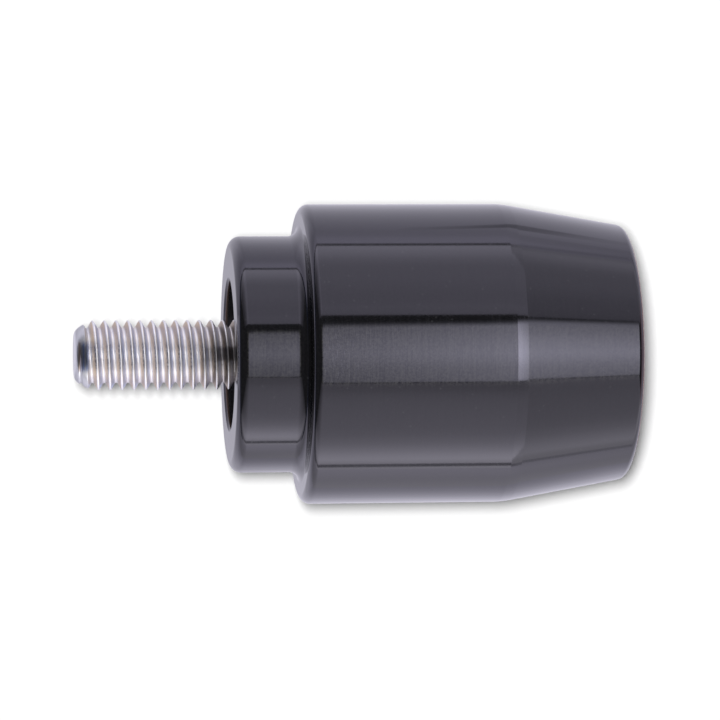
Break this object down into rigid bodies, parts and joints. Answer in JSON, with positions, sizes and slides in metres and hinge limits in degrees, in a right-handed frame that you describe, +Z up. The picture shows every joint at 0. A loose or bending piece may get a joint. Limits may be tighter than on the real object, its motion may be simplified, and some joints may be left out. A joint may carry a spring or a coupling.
{
  "type": "bar end weight",
  "caption": "Turned handlebar end weight: round body with a recessed spigot, a shoulder and a tapered outer end, held on the bar by a socket head screw through its middle.",
  "frame": {"origin": "on the axis, at the spigot's seat face", "axes": "+X along the axis from the seat face to the outer end, so the screw's free end points to -X; +Z up, with the axis level as on a handlebar"},
  "size_m": [0.0468, 0.0254, 0.0254],
  "materials": {
    "black_finish": "gloss",
    "bright_steel": "satin"
  },
  "bodies": {
    "root": {"weight_body": "black_finish", "socket_screw": "bright_steel"}
  },
  "joints": []
}
